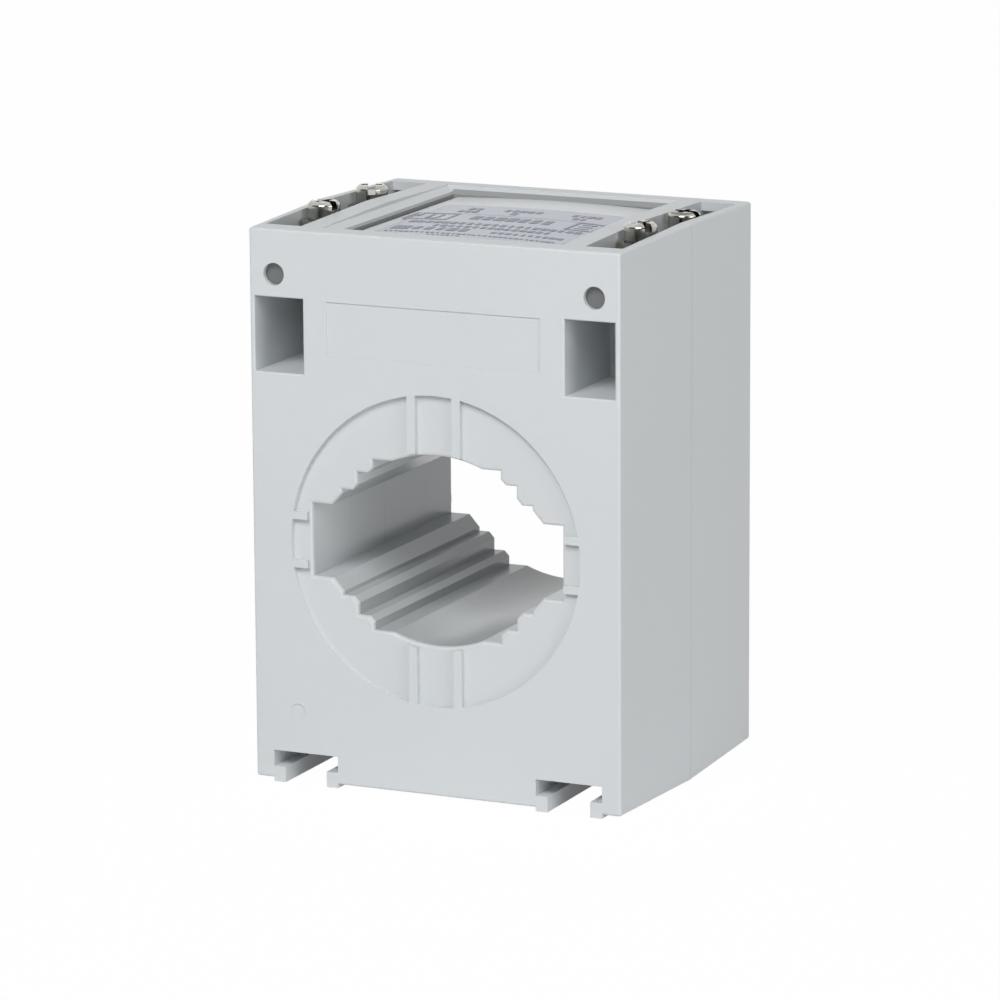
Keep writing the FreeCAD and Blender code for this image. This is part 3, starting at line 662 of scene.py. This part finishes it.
def row_tree():
    """Geometry nodes that print a row of bars on the crowned label."""
    tree = bpy.data.node_groups.new("print_row", "GeometryNodeTree")
    tree.interface.new_socket("Geometry", in_out="OUTPUT", socket_type="NodeSocketGeometry")
    for name, kind in ROW_INPUTS:
        tree.interface.new_socket(name, in_out="INPUT", socket_type=kind)
    given = tree.nodes.new("NodeGroupInput").outputs

    def make(kind, values, **settings):
        """A node's outputs: its settings come first, then its inputs' values or links."""
        node = tree.nodes.new(kind)
        for name, value in settings.items():
            setattr(node, name, value)
        for key, value in values.items():
            if isinstance(value, bpy.types.NodeSocket):
                tree.links.new(value, node.inputs[key])
            else:
                node.inputs[key].default_value = value
        return node.outputs

    def maths(operation, first, second):
        """Result of a Math node."""
        return make("ShaderNodeMath", {0: first, 1: second}, operation=operation)[0]

    # The row: a point for each bar, with a bar of random length on it.
    step = make("ShaderNodeCombineXYZ", {"X": given["Pitch"]})
    places = {"Count": given["Count"], "Start Location": given["Start"], "Offset": step[0]}
    line = make("GeometryNodeMeshLine", places)
    cells = {"Size X": 1.0, "Size Y": 1.0, "Vertices X": 4, "Vertices Y": 2}
    bar = make("GeometryNodeMeshGrid", cells)
    limits = {"Min": given["Shortest"], "Max": given["Longest"], "Seed": given["Seed"]}
    share = make("FunctionNodeRandomValue", limits, data_type="FLOAT")
    width = maths("MULTIPLY", given["Pitch"], share["Value"])
    scale = make("ShaderNodeCombineXYZ", {"X": width, "Y": given["Height"], "Z": 1.0})
    bars = {"Points": line["Mesh"], "Instance": bar["Mesh"], "Scale": scale[0]}
    placed = make("GeometryNodeInstanceOnPoints", bars)
    real = make("GeometryNodeRealizeInstances", {"Geometry": placed["Instances"]})
    # The bars are laid on the label, which falls with the square of the way across.
    spot = make("ShaderNodeSeparateXYZ", {0: make("GeometryNodeInputPosition", {})[0]})
    fall = maths("MULTIPLY", maths("MULTIPLY", spot["X"], spot["X"]), given["Crown"])
    height = maths("SUBTRACT", given["Top"], fall)
    laid = make("ShaderNodeCombineXYZ", {"X": spot["X"], "Y": spot["Y"], "Z": height})
    moved = {"Geometry": real["Geometry"], "Position": laid[0]}
    lay = make("GeometryNodeSetPosition", moved)
    covered = {"Geometry": lay["Geometry"], "Material": given["Ink"]}
    inked = make("GeometryNodeSetMaterial", covered)
    make("NodeGroupOutput", {"Geometry": inked["Geometry"]})
    return tree


def print_row(tree, name, ink, start, pitch, count, height, share, seed):
    """One row of bars, made a plain mesh."""
    finish = bpy.context.scene.label_finish
    mesh = bpy.data.meshes.new(name)
    piece = bpy.data.objects.new(name, mesh)
    bpy.context.scene.collection.objects.link(piece)
    modifier = piece.modifiers.new("row", "NODES")
    modifier.node_group = tree
    values = {
        "Count": count,
        "Start": (start[0] * MM, start[1] * MM, 0.0),
        "Pitch": pitch * MM,
        "Height": height * MM,
        "Shortest": share[0],
        "Longest": share[1],
        "Top": LABEL_TOP + finish.ink_height,
        "Crown": label_curve(),
        "Seed": seed,
        "Ink": ink,
    }
    for item in tree.interface.items_tree:
        if item.in_out == "INPUT":
            modifier[item.identifier] = values[item.name]
    depsgraph = bpy.context.evaluated_depsgraph_get()
    piece.update_tag()
    depsgraph.update()
    plain = bpy.data.meshes.new_from_object(piece.evaluated_get(depsgraph))
    piece.modifiers.remove(modifier)
    piece.data = plain
    bpy.data.meshes.remove(mesh)
    return piece


def label_curve():
    """Fall of the crowned label from its middle, per square metre across."""
    corners = [v.co for v in NODES["rating_label"].data.vertices]
    edge = max(v.x for v in corners)
    at_edge = max(v.z for v in corners if v.x > edge - 0.01 * MM)
    return (LABEL_TOP - at_edge) / edge ** 2


def box_outline(left, right, low, high, line):
    """Four bars of a frame, as (x, y, width, height) with centres, in millimetres."""
    across = (left + right) / 2
    up = (low + high) / 2
    return [
        (across, low, right - left + line, line),
        (across, high, right - left + line, line),
        (left, up, line, high - low),
        (right, up, line, high - low),
    ]


# Rows of bars that stand for text, in millimetres: x and y of the first bar's
# middle, pitch, count, height, and the least and greatest share of the pitch.
ROWS = (
    (-8.6, 7.5, 1.25, 2, 1.7, (0.5, 0.85)),
    (-2.6, 7.5, 1.3, 5, 1.7, (0.45, 0.85)),
    (8.6, 7.5, 1.25, 4, 1.6, (0.45, 0.85)),
    (-9.4, 5.1, 1.2, 3, 1.4, (0.5, 0.85)),
    (-0.5, 5.0, 1.2, 1, 1.7, (0.8, 0.9)),
    (9.6, 5.1, 1.2, 2, 1.5, (0.5, 0.85)),
    (-4.4, 0.0, 1.95, 7, 2.9, (0.6, 0.85)),
    (-12.4, -5.4, 1.35, 21, 1.6, (0.4, 0.85)),
    (-7.4, -8.1, 1.3, 15, 1.5, (0.4, 0.85)),
    (-9.0, -11.0, 1.9, 5, 2.5, (0.45, 0.8)),
    (3.6, -11.4, 1.2, 10, 1.3, (0.4, 0.85)),
    (-12.6, -14.5, 0.85, 33, 0.7, (0.4, 0.9)),
    (-5.0, -16.0, 0.8, 7, 0.6, (0.4, 0.9)),
)

# Single bars and the bars of the frames: x and y of the middle, width, height.
BARS = (
    (-11.6, -11.0, 2.8, 2.9),
    (2.0, 2.9, 24.0, 0.12),
    *box_outline(-15.3, -8.4, -3.0, 2.4, 0.45),
    (-12.0, -0.3, 0.5, 3.6),
    (-10.4, -0.3, 0.5, 3.6),
    (-11.2, -1.9, 2.0, 0.5),
    (-14.0, 0.6, 0.5, 2.2),
    *box_outline(11.6, 15.9, -3.4, 2.4, 0.5),
    (13.7, 1.1, 2.4, 0.45),
    (13.7, -0.5, 2.4, 0.45),
    (13.7, -2.1, 2.4, 0.45),
)


class TRANSFORMER_OT_label(bpy.types.Operator):
    """Finish the label film and print its bars and frames"""

    bl_idname = "transformer.label"
    bl_label = "Label"

    def execute(self, context):
        seed = context.scene.label_finish.seed
        dress(["rating_label"], label_film())
        ink = label_ink()
        tree = row_tree()
        pieces = [
            (f"label_row_{number}", *row, seed + number) for number, row in enumerate(ROWS)
        ]
        pieces += [
            (f"label_bar_{number}", x, y, width, 1, height, (1.0, 1.0), 0)
            for number, (x, y, width, height) in enumerate(BARS)
        ]
        for name, x, y, pitch, count, height, share, row_seed in pieces:
            piece = print_row(tree, name, ink, (x, y), pitch, count, height, share, row_seed)
            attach(piece, "root")
        return {"FINISHED"}


def soft_lamp(name, place, power):
    """A square area lamp that points at the part."""
    lamp = bpy.data.lights.new(name, "AREA")
    lamp.energy = power
    lamp.size = LAMP_WIDTH
    item = bpy.data.objects.new(name, lamp)
    item.location = place
    way = Vector(LAMP_AIM) - Vector(place)
    item.rotation_euler = way.to_track_quat("-Z", "Y").to_euler()
    bpy.context.scene.collection.objects.link(item)


def ray_kind(maker, kind):
    """1 for rays of one kind: Camera, Glossy or Transmission."""
    return maker.node("ShaderNodeLightPath", {}, {}, f"Is {kind} Ray")


def seen_white(maker):
    """1 where the camera, a reflection or a refraction looks."""
    seen = ray_kind(maker, "Camera")
    for kind in ("Glossy", "Transmission"):
        seen = seen.combine("MAXIMUM", seen, ray_kind(maker, kind))
    return seen


def floor_material(share):
    """Pale floor that looks white to the camera and still takes a shadow."""
    material = bpy.data.materials.new("studio_floor")
    material.use_nodes = True
    maker = Maker(material.node_tree)
    plain = maker.node("ShaderNodeBsdfDiffuse", {}, {"Color": (0.86, 0.86, 0.86)})
    white = maker.node("ShaderNodeEmission", {}, {"Strength": 1.0})
    shown = {0: seen_white(maker) * share, 1: plain, 2: white}
    maker.end("ShaderNodeOutputMaterial", maker.node("ShaderNodeMixShader", {}, shown))
    return material


def room_tone(maker):
    """White, but dark for reflections of the unlit room in front of the part."""
    way = maker.node("ShaderNodeTexCoord", {}, {}, "Generated")
    to_front = maker.node("ShaderNodeSeparateXYZ", {}, {0: way}, "Y").step(-0.1, -0.55)
    dark = to_front * ray_kind(maker, "Glossy")
    return maker.blend(dark, (1.0, 1.0, 1.0), (0.06, 0.06, 0.065))


def studio_world(strength):
    """Even light all round, with white behind for the camera and reflections."""
    world = bpy.data.worlds.new("studio")
    world.use_nodes = True
    maker = Maker(world.node_tree)
    even = {"Strength": strength, "Color": (0.97, 0.985, 1.0)}
    light = maker.node("ShaderNodeBackground", {}, even)
    behind = {"Strength": 1.0, "Color": room_tone(maker)}
    white = maker.node("ShaderNodeBackground", {}, behind)
    shown = {0: seen_white(maker), 1: light, 2: white}
    maker.end("ShaderNodeOutputWorld", maker.node("ShaderNodeMixShader", {}, shown))
    bpy.context.scene.world = world


def studio_camera(setup):
    """Camera at the photograph's angle, placed by its turn, rise, roll and distance."""
    turn, rise, roll = setup.camera_turn, setup.camera_rise, setup.camera_roll
    right = Vector((math.cos(turn), math.sin(turn), 0.0))
    level = Vector((-math.sin(turn), math.cos(turn), 0.0))
    ahead = level * math.cos(rise) - Vector((0.0, 0.0, math.sin(rise)))
    up = right.cross(ahead)
    across = right * math.cos(roll) + up * math.sin(roll)
    above = up * math.cos(roll) - right * math.sin(roll)
    place = Vector(setup.aim) + across * setup.slide[0] + above * setup.slide[1]
    place = place - ahead * setup.camera_distance
    data = bpy.data.cameras.new("camera")
    data.lens = setup.lens
    data.sensor_width = SENSOR_WIDTH
    data.clip_start = 0.01
    data.clip_end = 50.0
    item = bpy.data.objects.new("camera", data)
    axes = Matrix((across, above, -ahead)).transposed()
    item.matrix_world = Matrix.Translation(place) @ axes.to_4x4()
    bpy.context.scene.collection.objects.link(item)
    bpy.context.scene.camera = item


class TRANSFORMER_OT_studio(bpy.types.Operator):
    """Lay the floor, hang the lamps and place the camera"""

    bl_idname = "transformer.studio"
    bl_label = "Studio"

    def execute(self, context):
        setup = context.scene.studio_setup
        mesh = bpy.data.meshes.new("studio_floor")
        signs = ((-1, -1), (1, -1), (1, 1), (-1, 1))
        corners = [(x * FLOOR_REACH, y * FLOOR_REACH, 0.0) for x, y in signs]
        mesh.from_pydata(corners, [], [(0, 1, 2, 3)])
        floor = bpy.data.objects.new("studio_floor", mesh)
        mesh.materials.append(floor_material(setup.floor_white))
        context.scene.collection.objects.link(floor)
        soft_lamp("key_lamp", KEY_PLACE, setup.key_power)
        soft_lamp("fill_lamp", FILL_PLACE, setup.fill_power)
        studio_world(setup.room_light)
        studio_camera(setup)
        context.scene.view_settings.view_transform = "Standard"
        return {"FINISHED"}


class TRANSFORMER_PT_panel(bpy.types.Panel):
    """Sidebar panel with the transformer's pieces"""

    bl_idname = "TRANSFORMER_PT_panel"
    bl_label = "Current transformer"
    bl_space_type = "VIEW_3D"
    bl_region_type = "UI"
    bl_category = "Transformer"

    def draw(self, context):
        for step in STEPS:
            self.layout.operator(step.bl_idname)


STEPS = (
    TRANSFORMER_OT_case,
    TRANSFORMER_OT_terminals,
    TRANSFORMER_OT_core,
    TRANSFORMER_OT_label,
    TRANSFORMER_OT_studio,
)
SETTINGS = {
    "case_finish": CaseFinish,
    "label_finish": LabelFinish,
    "metal_finish": MetalFinish,
    "studio_setup": StudioSetup,
}


def register():
    """Make the settings, operators and panel known to Blender."""
    for name, group in SETTINGS.items():
        bpy.utils.register_class(group)
        setattr(bpy.types.Scene, name, PointerProperty(type=group))
    for item in (*STEPS, TRANSFORMER_PT_panel):
        bpy.utils.register_class(item)


def unregister():
    """Take them away again."""
    for item in reversed((*STEPS, TRANSFORMER_PT_panel)):
        bpy.utils.unregister_class(item)
    for name, group in SETTINGS.items():
        delattr(bpy.types.Scene, name)
        bpy.utils.unregister_class(group)


def main():
    """Run every step in order."""
    register()
    bpy.ops.transformer.case()
    bpy.ops.transformer.terminals()
    bpy.ops.transformer.core()
    bpy.ops.transformer.label()
    bpy.ops.transformer.studio()


if __name__ == "__main__":
    main()
